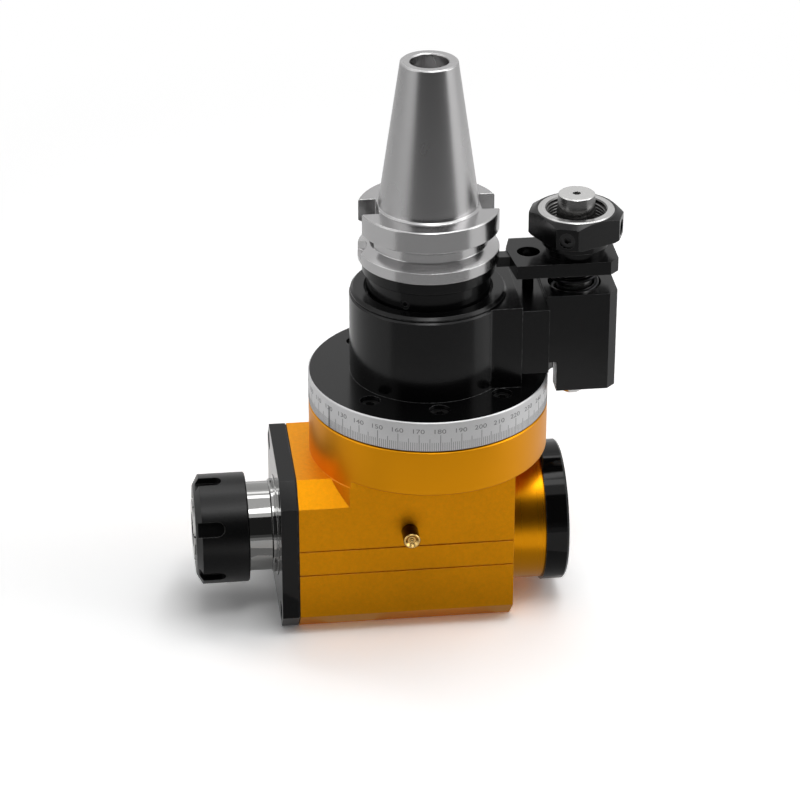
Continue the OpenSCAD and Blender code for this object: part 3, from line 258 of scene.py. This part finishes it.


# Colours. The rubbed colours and the steel edge colour are edge wear and also painted highlights along
# sharp edges
GOLD = (0.8, 0.318, 0.006)
GOLD_TURNED = (0.8, 0.31, 0.005)
GOLD_RUBBED_AND_HIGHLIT = (0.92, 0.5, 0.1)
ANODISED = (0.0026, 0.0026, 0.0028)
ANODISED_RUBBED_AND_HIGHLIT = (0.16, 0.16, 0.162)
OXIDE = (0.0028, 0.0028, 0.003)
OXIDE_RUBBED_AND_HIGHLIT = (0.16, 0.158, 0.155)
FASTENER = (0.005, 0.005, 0.0052)
FASTENER_RUBBED_AND_HIGHLIT = (0.12, 0.118, 0.115)
GROUND_STEEL = (0.505, 0.5, 0.502)
STEEL_EDGE_WEAR_AND_HIGHLIGHT = (0.95, 0.945, 0.94)
# Spindle steel: its own colour, darkened further as painted shade for the shaded floor that the neck
# reflects
POLISHED_STEEL_WITH_PAINTED_SHADE = (0.33, 0.328, 0.322)
# The stop pin's tip, and its side, whose darker colour is painted shade
PIN_STEEL = (0.72, 0.715, 0.705)
PIN_SIDE_PAINTED_SHADE = (0.2, 0.198, 0.196)
BUSH_STEEL = (0.62, 0.615, 0.61)
# Painted shade inside the bush's bore, a recess in shade
BUSH_INSIDE_PAINTED_SHADE = (0.18, 0.178, 0.174)
BEARING_STEEL = (0.62, 0.62, 0.63)
GEAR_STEEL = (0.33, 0.33, 0.34)
SPRING_STEEL = (0.035, 0.035, 0.037)
SATIN = (0.66, 0.66, 0.665)
BRASS = (0.72, 0.47, 0.16)
# Darker colour for the grease nipple's sides, beyond NIPPLE_R
BRASS_DARK_SIDES = (0.06, 0.03, 0.012)
RUBBER = (0.01, 0.01, 0.01)
INK = (0.22, 0.22, 0.225)


def blasted_gold():
    f = Finish("gold_blasted", GOLD, metallic=1.0)
    f.machined(f.turned("z", SHANK), SEAT_R, SEAT_Z)
    f.rounded(radius=0.35)
    f.shade(spread=0.16, sizes=(0.7, 1.6, 30))
    f.worn(GOLD_RUBBED_AND_HIGHLIT, amount=0.8)
    f.gloss(low=0.42, high=0.54, size=0.7, calm=SEAT_GLOSS)
    f.bump(size=0.75, depth=0.06, strength=0.5)
    f.bump(size=9, depth=0.05, strength=0.2)
    return f.done()


def turned_gold():
    f = Finish("gold_turned", GOLD_TURNED, metallic=1.0)
    rings = f.turned("x", OUTPUT)
    f.rounded(radius=0.4)
    f.shade(spread=0.05, sizes=(0.4, 25))
    f.worn(GOLD_RUBBED_AND_HIGHLIT, amount=0.8)
    f.gloss(low=0.27, high=0.32, size=0.5, vector=rings)
    f.bump(size=0.4, depth=0.0008, strength=0.4, vector=rings)
    return f.done()


def black_anodised(name, specular, gloss):
    f = Finish(name, ANODISED, metallic=0.0, specular=specular)
    f.rounded(radius=0.4)
    f.shade(spread=0.3, sizes=(0.4, 18))
    f.worn(ANODISED_RUBBED_AND_HIGHLIT, amount=0.7)
    f.gloss(*gloss, size=0.5)
    f.bump(size=0.3, depth=0.002, strength=0.5)
    return f.done()


def black_oxide(name, axis, centre, gloss=(0.15, 0.24)):
    f = Finish(name, OXIDE, metallic=0.0, specular=0.28)
    f.rounded(radius=0.35)
    f.shade(spread=0.3, sizes=(0.6, 14))
    f.worn(OXIDE_RUBBED_AND_HIGHLIT, amount=0.7)
    f.gloss(*gloss, size=0.5)
    f.bump(size=0.2, depth=0.0015, strength=0.5, vector=f.turned(axis, centre))
    f.bump(size=0.5, depth=0.002, strength=0.4)
    return f.done()


def dark_fastener():
    f = Finish("fastener_black", FASTENER, metallic=0.0)
    f.rounded(radius=0.2)
    f.shade(spread=0.3, sizes=(0.3, 4))
    f.worn(FASTENER_RUBBED_AND_HIGHLIT, amount=0.7)
    f.gloss(low=0.25, high=0.4, size=0.3)
    f.bump(size=0.2, depth=0.005, strength=0.5)
    return f.done()


def steel(name, axis, centre, colour, gloss, ring_size=0.3, ring_depth=0.0012, edge=0.25, zone=None):
    """Turned metal. A zone is a radius with the colour on one side of it."""
    f = Finish(name, colour, metallic=1.0)
    rings = f.turned(axis, centre)
    f.rounded(radius=edge)
    f.shade(spread=0.05, sizes=(0.6, 20))
    if zone:
        f.beyond(rings, *zone)
    f.gloss(*gloss, size=0.25, vector=rings)
    f.bump(ring_size, ring_depth, strength=0.6, vector=rings)
    return f.done()


def ground_taper():
    """Ground satin on the taper, glossier on the gripper flange."""
    f = Finish("steel_ground_taper", GROUND_STEEL, metallic=1.0)
    rings = f.turned("z", SHANK)
    f.rounded(radius=0.5)
    f.shade(spread=0.015, sizes=(15, 50))
    # Near-white edges: painted highlight on the taper's and flange's edges, with some wear
    f.worn(STEEL_EDGE_WEAR_AND_HIGHLIGHT, amount=1.0)
    f.machined(rings, TAPER_R, 0)
    f.gloss(low=0.268, high=0.278, size=25, calm=FLANGE_GLOSS)
    f.smooth = None
    f.bump(size=0.3, depth=0.0004, strength=0.6, vector=rings)
    return f.done()


def spring_steel():
    f = Finish("spring_steel", SPRING_STEEL, metallic=1.0)
    f.shade(spread=0.2, sizes=(0.5, 6))
    f.gloss(low=0.25, high=0.4, size=0.4)
    f.bump(size=0.3, depth=0.004, strength=0.5)
    return f.done()


def gear_steel():
    f = Finish("gear_ground", GEAR_STEEL, metallic=1.0)
    f.rounded(radius=0.2)
    f.shade(spread=0.1, sizes=(0.4, 8))
    f.gloss(low=0.2, high=0.34, size=0.3)
    f.bump(size=0.2, depth=0.003, strength=0.5)
    return f.done()


def brass():
    f = Finish("brass_turned", BRASS, metallic=1.0)
    rings = f.turned("y", NIPPLE)
    f.rounded(radius=0.15)
    f.shade(spread=0.08, sizes=(0.5, 5))
    # The nipple's sides beyond NIPPLE_R are darker
    f.beyond(rings, NIPPLE_R, BRASS_DARK_SIDES)
    f.gloss(low=0.18, high=0.3, size=0.2, vector=rings)
    f.bump(size=0.12, depth=0.004, strength=0.5, vector=rings)
    return f.done()


def rubber():
    f = Finish("seal_rubber", RUBBER, metallic=0.0, specular=0.3)
    f.rounded(radius=0.3)
    f.shade(spread=0.25, sizes=(0.3, 6))
    f.gloss(low=0.55, high=0.75, size=0.4)
    f.bump(size=0.3, depth=0.02, strength=0.5)
    return f.done()


def engraving():
    f = Finish("engraving_paint", INK, metallic=0.0, specular=0.2)
    f.shade(spread=0.5, sizes=(0.3, 3))
    f.gloss(low=0.5, high=0.7, size=0.3)
    f.bump(size=0.2, depth=0.01, strength=0.4)
    return f.done()


gold = blasted_gold()
sleeve_gold = turned_gold()
black = black_anodised("black_anodised", specular=0.32, gloss=(0.14, 0.22))
cover_black = black_anodised("black_anodised_smooth", specular=0.22, gloss=(0.06, 0.11))
oxide_x = black_oxide("black_oxide_nut", "x", OUTPUT, gloss=(0.27, 0.35))
oxide_z = black_oxide("black_oxide_shank", "z", SHANK)
oxide_pin = black_oxide("black_oxide_pin", "z", PIN)
fastener = dark_fastener()
taper_steel = ground_taper()
# The spindle's darker steel is partly painted shade in its reflections
spindle_steel = steel("steel_polished_spindle", "x", OUTPUT, POLISHED_STEEL_WITH_PAINTED_SHADE, gloss=(0.03, 0.06))
# Painted shade on the pin's side, beyond TIP_R
pin_steel = steel("steel_turned_pin", "z", PIN, PIN_STEEL, gloss=(0.2, 0.28),
                  ring_size=0.25, ring_depth=0.003, zone=(TIP_R, PIN_SIDE_PAINTED_SHADE))
# Painted shade inside the bush, within BUSH_R
bush_steel = steel("steel_turned_bush", "z", PIN, BUSH_STEEL, gloss=(0.2, 0.28),
                   ring_size=0.25, ring_depth=0.003, zone=(BUSH_R, BUSH_INSIDE_PAINTED_SHADE, "LESS_THAN"))
bearing = steel("steel_bearing_output", "x", OUTPUT, BEARING_STEEL, gloss=(0.1, 0.16))
bearing_z = steel("steel_bearing_shank", "z", SHANK, BEARING_STEEL, gloss=(0.1, 0.16))
dial = steel("dial_satin", "z", SHANK, SATIN, gloss=(0.34, 0.46),
             ring_size=0.2, ring_depth=0.004, edge=0.3)
gears = gear_steel()
nipple_brass = brass()
guide_brass = steel("brass_guide", "z", PIN, BRASS, gloss=(0.2, 0.3), ring_size=0.2, ring_depth=0.006)
seal = rubber()
paint = engraving()
coil = spring_steel()

LOOKS = {
    gold: ["housing"],
    sleeve_gold: ["rear_bearing_sleeve"],
    black: ["upper_body", "stop_bracket"],
    cover_black: ["front_cover", "rear_cap"],
    oxide_x: ["collet_nut"],
    oxide_z: ["lock_ring", "bearing_retainer"],
    oxide_pin: ["collar", "lever_plate", "guide_rod"],
    fastener: ["front_cover_screws", "rear_cap_screws", "swivel_screws", "stop_bracket_screws",
               "collar_set_screws", "lock_ring_set_screws", "swivel_t_nuts", "lock_tongue",
               "pin_retaining_nut", "pin_spring"],
    taper_steel: ["taper_shank"],
    spindle_steel: ["output_spindle", "labyrinth_ring", "collet", "spacer_sleeve"],
    pin_steel: ["stop_pin"],
    bush_steel: ["collar_bush"],
    bearing: ["front_bearing_outers", "front_bearing_inners", "front_bearing_balls",
              "rear_bearing_outer", "rear_bearing_inner", "rear_bearing_balls"],
    bearing_z: ["input_bearing_outers", "input_bearing_inners", "input_bearing_balls"],
    gears: ["drive_gear", "driven_gear", "drive_gear_key", "driven_gear_key",
            "shaft_lock_nuts", "spindle_lock_nuts"],
    dial: ["dial_ring"],
    nipple_brass: ["grease_nipple"],
    guide_brass: ["pin_guide_bush"],
    seal: ["front_seal", "input_seal"],
}
for finish, names in LOOKS.items():
    for name in names:
        mesh = nodes[name].data
        mesh.materials.clear()
        mesh.materials.append(finish)


def placed(name, data):
    obj = bpy.data.objects.new(name, data)
    bpy.context.scene.collection.objects.link(obj)
    return obj


def piece(name, build, finish, body, smooth=True):
    """A new piece from a function that fills a bmesh, in metres."""
    bm = bmesh.new()
    build(bm)
    bmesh.ops.recalc_face_normals(bm, faces=bm.faces)
    mesh = bpy.data.meshes.new(name)
    bm.to_mesh(mesh)
    bm.free()
    for polygon in mesh.polygons:
        polygon.use_smooth = smooth
    mesh.materials.append(finish)
    obj = placed(name, mesh)
    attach(obj, body)
    return obj


# The engraved scale: 180 faces the near side and the numbers grow toward the stop pin
ring_lo, ring_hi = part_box("dial_ring")
RING_R = (ring_hi.x - ring_lo.x) / 2
SCALE_FOOT = 0.45 * MM
SCALE_Z = ring_lo.z + SCALE_FOOT
SCALE_TURN = 88.8
PAINT_OUT = 0.02 * MM
PAINT_IN = 0.06 * MM
PAINT_LAYERS = (RING_R - PAINT_IN, RING_R + PAINT_OUT)

# Ticks stand on every so many degrees, with a length and a width in millimetres
TICKS = ((10, 7.9, 0.28), (5, 6.0, 0.24), (1, 4.1, 0.2))
MARK_DEGREE = 120
MARK_LENGTH = 10.5
MARK_WIDTH = 1.0
BOX_FACES = ((0, 1, 2, 3), (4, 5, 6, 7), (0, 1, 5, 4), (1, 2, 6, 5), (2, 3, 7, 6), (3, 0, 4, 7))
NUMBER_STEP = 10
DIGIT_SIZE = 3.0 * MM
DIGIT_STRETCH = 1.35
DIGIT_BACK = 0.5 * MM
DIGIT_UP = 9.5 * MM
DIGIT_CURVE_STEPS = 4


def on_ring(turn, along, height, radius):
    angle = math.radians(turn + SCALE_TURN) + along / RING_R
    return (radius * math.cos(angle), radius * math.sin(angle), height)


def tick(bm, turn, length, width):
    half = width * MM / 2
    top = SCALE_Z + length * MM
    corners = []
    for radius in PAINT_LAYERS:
        for along, z in ((-half, SCALE_Z), (half, SCALE_Z), (half, top), (-half, top)):
            corners.append(bm.verts.new(on_ring(turn, along, z, radius)))
    for face in BOX_FACES:
        bm.faces.new([corners[i] for i in face])


def scale_ticks(bm):
    for degree in range(360):
        length, width = next(size for step, *size in TICKS if degree % step == 0)
        tick(bm, degree, length, width)
    tick(bm, MARK_DEGREE, MARK_LENGTH, MARK_WIDTH)


def digits(text):
    """Flat outline mesh of a number, centred on the origin, as (points, faces)."""
    curve = bpy.data.curves.new("digits", "FONT")
    curve.body = text
    curve.size = DIGIT_SIZE
    curve.align_x = "CENTER"
    curve.align_y = "CENTER"
    curve.resolution_u = DIGIT_CURVE_STEPS
    holder = placed("digits", curve)
    bpy.context.view_layer.update()
    mesh = holder.evaluated_get(bpy.context.evaluated_depsgraph_get()).to_mesh()
    points = [v.co.copy() for v in mesh.vertices]
    faces = [list(p.vertices) for p in mesh.polygons]
    bpy.data.objects.remove(holder)
    bpy.data.curves.remove(curve)
    return points, faces


def outline(faces):
    """Edges that belong to one face only, in that face's direction."""
    edges = {}
    for face in faces:
        for a, b in zip(face, face[1:] + face[:1]):
            key = frozenset((a, b))
            edges[key] = None if key in edges else (a, b)
    return filter(None, edges.values())


def scale_numbers(bm):
    for degree in range(0, 360, NUMBER_STEP):
        points, faces = digits(str(degree))
        inner, outer = [], []
        for radius, layer in zip(PAINT_LAYERS, (inner, outer)):
            for p in points:
                place = on_ring(degree, DIGIT_STRETCH * p.x - DIGIT_BACK, SCALE_Z + DIGIT_UP + p.y, radius)
                layer.append(bm.verts.new(place))
        for face in faces:
            bm.faces.new([outer[i] for i in face])
        for a, b in outline(faces):
            bm.faces.new((inner[a], inner[b], outer[b], outer[a]))


piece("dial_ticks", scale_ticks, paint, "upper_body", smooth=False)
piece("dial_numbers", scale_numbers, paint, "upper_body", smooth=False)


def swept(bm, count, section):
    """A closed tube through rings of points, each ring given by section(index)."""
    rings = [[bm.verts.new(p) for p in section(i)] for i in range(count)]
    sides = len(rings[0])
    for low, high in zip(rings, rings[1:]):
        for k in range(sides):
            bm.faces.new((low[k], low[(k + 1) % sides], high[(k + 1) % sides], high[k]))
    bm.faces.new(list(reversed(rings[0])))
    bm.faces.new(rings[-1])


# The coil's end turns lie close together, and the turns between them share the height that is left
spring_lo, spring_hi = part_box("pin_spring")
WIRE_R = 1.1 * MM
COIL_R = (spring_hi.x - spring_lo.x) / 2 - WIRE_R
COIL_TURNS = 6
COIL_STEPS = 40
COIL_SIDES = 14
DEAD_TURNS = 1.0
DEAD_PITCH = 1.05
dead_rise = DEAD_TURNS * 2 * WIRE_R * DEAD_PITCH
live_rise = spring_hi.z - spring_lo.z - 2 * WIRE_R - 2 * dead_rise


def coil_height(turn):
    if turn < DEAD_TURNS:
        return dead_rise * turn / DEAD_TURNS
    if turn > COIL_TURNS - DEAD_TURNS:
        return dead_rise + live_rise + dead_rise * (turn - COIL_TURNS + DEAD_TURNS) / DEAD_TURNS
    return dead_rise + live_rise * (turn - DEAD_TURNS) / (COIL_TURNS - 2 * DEAD_TURNS)


def coil_section(i):
    angle = 2 * math.pi * i / COIL_STEPS
    z = spring_lo.z + WIRE_R + coil_height(i / COIL_STEPS)
    points = []
    for k in range(COIL_SIDES):
        b = 2 * math.pi * k / COIL_SIDES
        r = COIL_R + WIRE_R * math.cos(b)
        points.append((PIN.x + r * math.cos(angle), r * math.sin(angle), z + WIRE_R * math.sin(b)))
    return points


def spring(bm):
    swept(bm, COIL_TURNS * COIL_STEPS + 1, coil_section)


spring_piece = piece("pin_spring_coil", spring, coil, "upper_body")
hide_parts("pin_spring")
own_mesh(spring_piece)

# A thread's ridge starts and ends in a fade, and its foot is sunk into the wall
THREAD_STEPS = 64
THREAD_FADE = 12
THREAD_LEAST = 0.02
THREAD_SINK = 0.05 * MM
CREST = (0.44, 0.56)


def inner_thread(centre, radius, z0, z1, pitch, depth):
    """Ridges of an internal thread, standing inward from the bore's wall."""
    count = int((z1 - z0 - pitch) / pitch * THREAD_STEPS)

    def section(i):
        angle = 2 * math.pi * i / THREAD_STEPS
        z = z0 + pitch * i / THREAD_STEPS
        fade = min(1, i / THREAD_FADE, (count - 1 - i) / THREAD_FADE)
        crest = radius - depth * max(THREAD_LEAST, fade)
        root = radius + THREAD_SINK
        low, high = (z + share * pitch for share in CREST)
        profile = ((root, z), (crest, low), (crest, high), (root, z + pitch))
        return [(centre.x + r * math.cos(angle), centre.y + r * math.sin(angle), h) for r, h in profile]

    def build(bm):
        swept(bm, count, section)

    return build


# Radii of the two threaded bores, and where their ridges lie below the tops of the bush and the shank
BUSH_BORE_R = 13.3 * MM
BUSH_THREAD_TOP = 0.6 * MM
SHANK_BORE_R = 7.0 * MM
SHANK_THREAD_TOP = 9.6 * MM
SHANK_THREAD_BOTTOM = 45 * MM
bush_lo, bush_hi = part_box("collar_bush")
bush_thread = inner_thread(PIN, BUSH_BORE_R, bush_lo.z, bush_hi.z - BUSH_THREAD_TOP,
                           pitch=1.5 * MM, depth=0.75 * MM)
piece("collar_bush_thread", bush_thread, bush_steel, "stop_pin")
shank_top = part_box("taper_shank")[1].z
shank_thread = inner_thread(SHANK, SHANK_BORE_R, shank_top - SHANK_THREAD_BOTTOM,
                            shank_top - SHANK_THREAD_TOP, pitch=2 * MM, depth=0.6 * MM)
piece("retention_thread_ridges", shank_thread, taper_steel, "input_shank")

# Studio: pale floor, soft boxes, and glowing cards that only reflections see, which paint dark and light
# reflections. Lengths in metres
FLOOR = 3.5
PAPER = 0.9
PAPER_SEEN = 1.5
PAPER_IN_GLOSS = 0.08
FADE_START = 0.3
FADE_END = 0.7
FILL = 0.26
FLAG_STEPS = 24

# Each card is a curved strip between two (radius, height) rings and two turns from -Y toward +X,
# in degrees, with its brightness last
FLAGS = (
    ("flag_front", ((1.2, 0.15), (1.2, 1.5)), (-50, 60), 0.03),
    ("flag_back", ((1.2, 0.2), (1.2, 1.3)), (110, 250), 0.75),
    ("flag_skirt", ((1.2, 0.0), (1.2, 0.15)), (-50, 60), 0.11),
    ("flag_table_edge", ((0.27, 0.002), (1.2, 0.002)), (-60, 60), 0.35),
    # Painted shade: floor cards that darken the reflected floor close to the object and in front of the
    # nut
    ("flag_near", ((0.04, 0.001), (0.09, 0.001)), (-60, 75), 0.3),
    ("flag_nut", ((0.09, 0.001), (0.17, 0.001)), (-85, -42), 0.3),
)

# Each light has a place, a width, a height and a radiance, and looks at the head
HEAD = Vector((0, 0, 0.12))
LIGHTS = {
    "top_strip_0": ((0.2, -0.44, 1.35), 1.4, 0.2, 2.6),
    "top_strip_1": ((0.2, -0.06, 1.35), 1.4, 0.2, 3.3),
    "top_strip_2": ((0.2, 0.32, 1.35), 1.4, 0.2, 3.3),
    "top_strip_3": ((0.2, 0.82, 1.35), 1.4, 0.2, 1.6),
    "left_box": ((-1.25, -0.35, 0.7), 0.8, 1.2, 0.4),
    "right_box": ((1.25, -0.3, 0.7), 0.8, 1.2, 1.7),
}


def stage_mesh(name, points, faces, finish):
    mesh = bpy.data.meshes.new(name)
    mesh.from_pydata(points, [], faces)
    mesh.materials.append(finish)
    obj = placed(name, mesh)
    return obj


def mirrored(tree, path):
    """1 for rays that show the background in gloss and through glass."""
    return tree.math("MAXIMUM", path["Is Glossy Ray"], path["Is Transmission Ray"])


def floor_finish():
    """Paper that the camera sees as white, with the object's shadow, and that fades to white far away."""
    material = bpy.data.materials.new("floor_paper")
    tree = Nodes(material)
    path = tree.add("ShaderNodeLightPath").outputs
    paper = tree.add("ShaderNodeBsdfDiffuse")
    tree.link(tree.ranged(path["Is Camera Ray"], 0, 1, PAPER, PAPER_SEEN), paper.inputs["Color"])
    glow = tree.add("ShaderNodeEmission")
    tree.link(tree.math("MULTIPLY", mirrored(tree, path), PAPER_IN_GLOSS), glow.inputs["Strength"])
    lit = tree.add("ShaderNodeAddShader")
    tree.link(paper.outputs["BSDF"], lit.inputs[0])
    tree.link(glow.outputs["Emission"], lit.inputs[1])
    reach = tree.vector_math("LENGTH", tree.add("ShaderNodeTexCoord").outputs["Object"])
    fade = tree.ranged(reach, FADE_START, FADE_END, interpolation="SMOOTHSTEP")
    white = tree.add("ShaderNodeEmission")
    mix = tree.add("ShaderNodeMixShader")
    tree.link(tree.math("MULTIPLY", fade, path["Is Camera Ray"]), mix.inputs["Fac"])
    tree.link(lit.outputs["Shader"], mix.inputs[1])
    tree.link(white.outputs["Emission"], mix.inputs[2])
    tree.link(mix.outputs["Shader"], tree.add("ShaderNodeOutputMaterial").inputs["Surface"])
    return material


def flag_finish(name, level):
    material = bpy.data.materials.new(name)
    tree = Nodes(material)
    reflection_glow = tree.add("ShaderNodeEmission")
    reflection_glow.inputs["Color"].default_value = (level, level, level, 1)
    tree.link(reflection_glow.outputs["Emission"], tree.add("ShaderNodeOutputMaterial").inputs["Surface"])
    return material


def flag(name, rings, turns, level):
    points, faces = [], []
    for i in range(FLAG_STEPS + 1):
        a = math.radians(turns[0] + (turns[1] - turns[0]) * i / FLAG_STEPS)
        for r, z in rings:
            points.append((r * math.sin(a), -r * math.cos(a), z))
        if i:
            faces.append((2 * i - 2, 2 * i, 2 * i + 1, 2 * i - 1))
    card = stage_mesh(name, points, faces, flag_finish(name, level))
    # The card glows but is hidden from the camera, diffuse light and shadows: it is only a painted
    # reflection
    card.visible_camera = False
    card.visible_diffuse = False
    card.visible_transmission = False
    card.visible_shadow = False


def soft_box(name, place, width, height, radiance):
    lamp = bpy.data.lights.new(name, "AREA")
    lamp.shape = "RECTANGLE"
    lamp.size = width
    lamp.size_y = height
    lamp.energy = radiance * math.pi * width * height
    obj = placed(name, lamp)
    obj.location = place
    obj.rotation_mode = "QUATERNION"
    obj.rotation_quaternion = (HEAD - Vector(place)).to_track_quat("-Z", "Y")


def studio_world():
    """A dim fill, seen as white by the camera, in gloss and through glass."""
    world = bpy.data.worlds.new("studio")
    tree = Nodes(world)
    path = tree.add("ShaderNodeLightPath").outputs
    fill = tree.add("ShaderNodeBackground")
    fill.inputs["Color"].default_value = (1, 1, 1, 1)
    fill.inputs["Strength"].default_value = FILL
    white = tree.add("ShaderNodeBackground")
    white.inputs["Color"].default_value = (1, 1, 1, 1)
    mix = tree.add("ShaderNodeMixShader")
    tree.link(tree.math("MAXIMUM", path["Is Camera Ray"], mirrored(tree, path)), mix.inputs["Fac"])
    tree.link(fill.outputs["Background"], mix.inputs[1])
    tree.link(white.outputs["Background"], mix.inputs[2])
    tree.link(mix.outputs["Shader"], tree.add("ShaderNodeOutputWorld").inputs["Surface"])
    return world


floor_corners = [(-FLOOR, -FLOOR, 0), (FLOOR, -FLOOR, 0), (FLOOR, FLOOR, 0), (-FLOOR, FLOOR, 0)]
stage_mesh("floor", floor_corners, [(0, 1, 2, 3)], floor_finish())
for row in FLAGS:
    flag(*row)
for name, row in LIGHTS.items():
    soft_box(name, *row)
bpy.context.scene.world = studio_world()
bpy.context.scene.view_settings.view_transform = "Standard"

# Camera at the photograph's angle
TARGET = Vector((-0.01251, 0.00148, 0.0985))
TURN = math.radians(6.75)
TILT = math.radians(27.72)
AWAY = 1.4185
camera = bpy.data.cameras.new("camera")
camera.lens = 140.4
camera.sensor_width = 36
camera.clip_start = 0.05
camera.clip_end = 30
viewer = placed("camera", camera)
back = Vector((-math.sin(TURN) * math.cos(TILT), -math.cos(TURN) * math.cos(TILT), math.sin(TILT)))
viewer.location = TARGET + back * AWAY
viewer.rotation_mode = "QUATERNION"
viewer.rotation_quaternion = (-back).to_track_quat("-Z", "Y")
bpy.context.scene.camera = viewer
